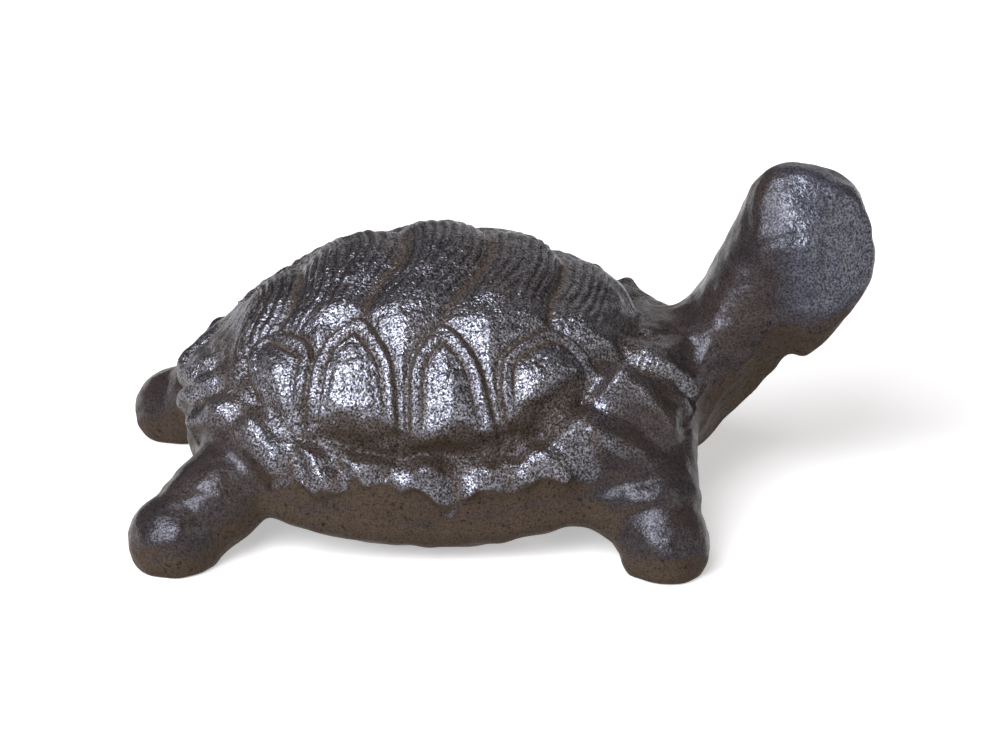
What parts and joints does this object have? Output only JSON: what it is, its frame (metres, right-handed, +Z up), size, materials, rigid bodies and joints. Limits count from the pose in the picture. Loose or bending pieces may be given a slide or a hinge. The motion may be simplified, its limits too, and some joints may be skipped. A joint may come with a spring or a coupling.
{
  "type": "tortoise figurine",
  "caption": "Standing tortoise ornament in dark cast iron with a domed shell of raised scutes, a smooth belly and a raised blunt head, resting on flat soles.",
  "frame": {"origin": "middle of the footprint's bounding box, on the ground under the soles", "axes": "+X towards the head, +Y to the tortoise's left, +Z up"},
  "size_m": [0.1772, 0.1076, 0.0831],
  "materials": {
    "iron": "sand-cast grain under a dark oiled lacquer, satin to gloss",
    "steel": "plain turned steel"
  },
  "bodies": {
    "root": {"carapace": "iron", "underbody": "iron", "head_and_neck": "iron", "front_right_leg": "iron", "front_left_leg": "iron", "rear_right_leg": "iron", "rear_left_leg": "iron", "belly_screw_front_right": "steel", "belly_screw_front_left": "steel", "belly_screw_rear_right": "steel", "belly_screw_rear_left": "steel", "leg_screw_front_right": "steel", "leg_screw_front_left": "steel", "leg_screw_rear_right": "steel", "leg_screw_rear_left": "steel", "neck_screw": "steel", "leg_washer_front_right": "steel", "leg_washer_front_left": "steel", "leg_washer_rear_right": "steel", "leg_washer_rear_left": "steel", "neck_washer": "steel"}
  },
  "joints": []
}
